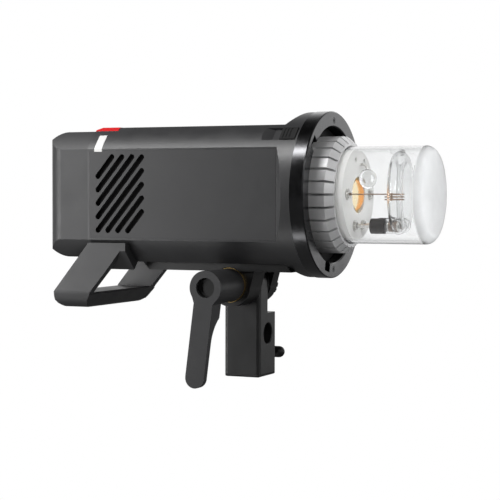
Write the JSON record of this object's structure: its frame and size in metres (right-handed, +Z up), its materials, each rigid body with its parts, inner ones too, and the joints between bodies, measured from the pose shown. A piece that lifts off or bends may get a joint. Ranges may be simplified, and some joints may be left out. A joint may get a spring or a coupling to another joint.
{
  "type": "monolight strobe",
  "caption": "Cordless monolight strobe head with glass-domed ring flash tube, three-lug accessory ring, carry handle and tilting stand bracket with lever.",
  "frame": {"origin": "centre of the upright stand socket's mouth, at the bottom of the tilt bracket", "axes": "+X along the lamp's optical axis towards the glass dome, +Z up, +Y to the side away from the tilt lever"},
  "size_m": [0.3054, 0.135, 0.2044],
  "materials": {
    "bracket_paint": "satin",
    "grip_black": "matte",
    "brass": "satin",
    "housing_paint": "satin",
    "cap_plastic": "satin",
    "ring_metal": "satin",
    "screw_steel": "satin",
    "front_black": "matte",
    "fin_metal": "satin",
    "ceramic_white": "satin",
    "terminal_steel": "polished",
    "led_phosphor": "satin",
    "led_clear": "polished",
    "tube_glass": "polished",
    "seal_dark": "satin",
    "trigger_nickel": "satin",
    "dome_glass": "polished",
    "lever_grey": "satin",
    "screw_black": "satin",
    "handle_plastic": "satin",
    "cover_film": "matte",
    "mesh_black": "matte",
    "fan_plastic": "satin",
    "red_clear": "gloss",
    "white_clear": "satin",
    "bay_plastic": "matte",
    "contact_gold": "polished",
    "pack_plastic": "satin",
    "charge_light": "gloss",
    "key_grey": "satin",
    "fascia_gloss": "gloss",
    "lcd_glass": "polished",
    "lcd_back": "satin",
    "dial_plastic": "satin",
    "test_red": "satin",
    "flap_rubber": "matte",
    "jack_grey": "satin",
    "board_green": "satin",
    "can_sleeve": "satin"
  },
  "bodies": {
    "bracket": {"bracket_block": "bracket_paint"},
    "head": {"main_shell": "housing_paint", "rear_cap": "cap_plastic", "mount_ring": "ring_metal", "ring_screws": "screw_steel", "front_plate": "front_black", "lamp_housing": "fin_metal", "lamp_base": "ceramic_white", "base_terminals": "terminal_steel", "led_chip": "led_phosphor", "led_lens": "led_clear", "keel_plate": "bracket_paint", "keel_screws": "screw_steel", "friction_disc": "screw_steel", "tilt_bolt": "grip_black", "carry_handle": "handle_plastic", "handle_screws": "screw_steel", "side_panel": "cover_film", "dust_mesh": "mesh_black", "fan_frame": "fan_plastic", "sensor_window": "red_clear", "status_window": "white_clear", "battery_bay": "bay_plastic", "bay_contacts": "contact_gold", "panel_fascia": "fascia_gloss", "lcd_window": "lcd_glass", "lcd_module": "lcd_back", "jack_block": "jack_grey", "control_board": "board_green", "capacitor_bank": "can_sleeve", "capacitor_board": "board_green", "heat_sink": "fin_metal"},
    "clamp_shoe": {"lock_shoe": "brass"},
    "clamp_handle": {"lock_handle": "grip_black"},
    "lever_core": {"lever_nut": "brass", "lever_screw": "screw_black"},
    "lever": {"tilt_lever": "lever_grey"},
    "flash_unit": {"flash_tube": "tube_glass", "tube_seals": "seal_dark", "tube_pins": "terminal_steel", "trigger_wire": "trigger_nickel"},
    "dome": {"glass_dome": "dome_glass"},
    "slider": {"release_slider": "grip_black"},
    "fan": {"fan_rotor": "fan_plastic"},
    "battery": {"battery_pack": "pack_plastic", "pack_contacts": "contact_gold", "charge_lights": "charge_light"},
    "latch": {"battery_latch": "grip_black"},
    "charge_key": {"charge_button": "key_grey"},
    "dial": {"control_dial": "dial_plastic"},
    "dial_key": {"dial_button": "key_grey"},
    "mode_key_body": {"mode_key": "key_grey"},
    "group_key_body": {"group_key": "key_grey"},
    "sync_key_body": {"sync_key": "key_grey"},
    "lamp_key_body": {"lamp_key": "key_grey"},
    "beep_key_body": {"beep_key": "key_grey"},
    "link_key_body": {"link_key": "key_grey"},
    "test_key": {"test_button": "test_red"},
    "power_key": {"power_switch": "grip_black"},
    "flap": {"port_flap": "flap_rubber"}
  },
  "joints": [
    {"name": "clamp_slide", "type": "slide", "parent": "bracket", "child": "clamp_shoe", "axis": [0, -1, 0], "range_m": [-0.0015, 0.003]},
    {"name": "clamp_turn", "type": "hinge", "parent": "clamp_shoe", "child": "clamp_handle", "pos_m": [0, 0.034, 0.0155], "axis": [0, -1, 0], "range_deg": [-360, 720]},
    {"name": "head_tilt", "type": "hinge", "parent": "bracket", "child": "head", "pos_m": [0, -0.0085, 0.072], "axis": [0, 1, 0], "range_deg": [-60, 75]},
    {"name": "lever_turn", "type": "hinge", "parent": "head", "child": "lever_core", "pos_m": [0, -0.0585, 0.072], "axis": [0, 1, 0], "range_deg": [-45, 60]},
    {"name": "lever_pull", "type": "slide", "parent": "lever_core", "child": "lever", "axis": [0, -1, 0], "range_m": [0, 0.0045], "stiffness_N_per_m": 600, "springref_m": -0.003},
    {"name": "accessory_release", "type": "slide", "parent": "head", "child": "slider", "axis": [-1, 0, 0], "range_m": [0, 0.0064], "stiffness_N_per_m": 250, "springref_m": -0.004},
    {"name": "flash_tube_pull", "type": "slide", "parent": "head", "child": "flash_unit", "axis": [1, 0, 0], "range_m": [0, 0.03]},
    {"name": "dome_pull", "type": "slide", "parent": "flash_unit", "child": "dome", "axis": [1, 0, 0], "range_m": [0, 0.085]},
    {"name": "fan_spin", "type": "hinge", "parent": "head", "child": "fan", "pos_m": [-0.082, -0.0485, 0.14], "axis": [0, 1, 0], "continuous": true},
    {"name": "battery_slide", "type": "slide", "parent": "head", "child": "battery", "axis": [0, 1, 0], "range_m": [0, 0.045]},
    {"name": "battery_latch_slide", "type": "slide", "parent": "battery", "child": "latch", "axis": [1, 0, 0], "range_m": [0, 0.004], "stiffness_N_per_m": 250, "springref_m": -0.003},
    {"name": "charge_press", "type": "slide", "parent": "battery", "child": "charge_key", "axis": [0, -1, 0], "range_m": [0, 0.0008], "stiffness_N_per_m": 500, "springref_m": -0.0005},
    {"name": "dial_turn", "type": "hinge", "parent": "head", "child": "dial", "pos_m": [-0.148, -0.0085, 0.124], "axis": [1, 0, 0], "continuous": true},
    {"name": "dial_press", "type": "slide", "parent": "dial", "child": "dial_key", "axis": [1, 0, 0], "range_m": [0, 0.0006], "stiffness_N_per_m": 500, "springref_m": -0.0005},
    {"name": "mode_press", "type": "slide", "parent": "head", "child": "mode_key_body", "axis": [1, 0, 0], "range_m": [0, 0.0008], "stiffness_N_per_m": 500, "springref_m": -0.0005},
    {"name": "group_press", "type": "slide", "parent": "head", "child": "group_key_body", "axis": [1, 0, 0], "range_m": [0, 0.0008], "stiffness_N_per_m": 500, "springref_m": -0.0005},
    {"name": "sync_press", "type": "slide", "parent": "head", "child": "sync_key_body", "axis": [1, 0, 0], "range_m": [0, 0.0008], "stiffness_N_per_m": 500, "springref_m": -0.0005},
    {"name": "lamp_press", "type": "slide", "parent": "head", "child": "lamp_key_body", "axis": [1, 0, 0], "range_m": [0, 0.0008], "stiffness_N_per_m": 500, "springref_m": -0.0005},
    {"name": "beep_press", "type": "slide", "parent": "head", "child": "beep_key_body", "axis": [1, 0, 0], "range_m": [0, 0.0008], "stiffness_N_per_m": 500, "springref_m": -0.0005},
    {"name": "link_press", "type": "slide", "parent": "head", "child": "link_key_body", "axis": [1, 0, 0], "range_m": [0, 0.0008], "stiffness_N_per_m": 500, "springref_m": -0.0005},
    {"name": "test_press", "type": "slide", "parent": "head", "child": "test_key", "axis": [1, 0, 0], "range_m": [0, 0.0008], "stiffness_N_per_m": 500, "springref_m": -0.0005},
    {"name": "power_slide", "type": "slide", "parent": "head", "child": "power_key", "axis": [0, 0, 1], "range_m": [0, 0.004]},
    {"name": "flap_open", "type": "hinge", "parent": "head", "child": "flap", "pos_m": [-0.123, 0.043, 0.128], "axis": [-1, 0, 0], "range_deg": [0, 100]}
  ],
  "couplings": [
    {"joint": "clamp_turn", "follows": "clamp_slide", "rad_per_m": 4188.8}
  ]
}
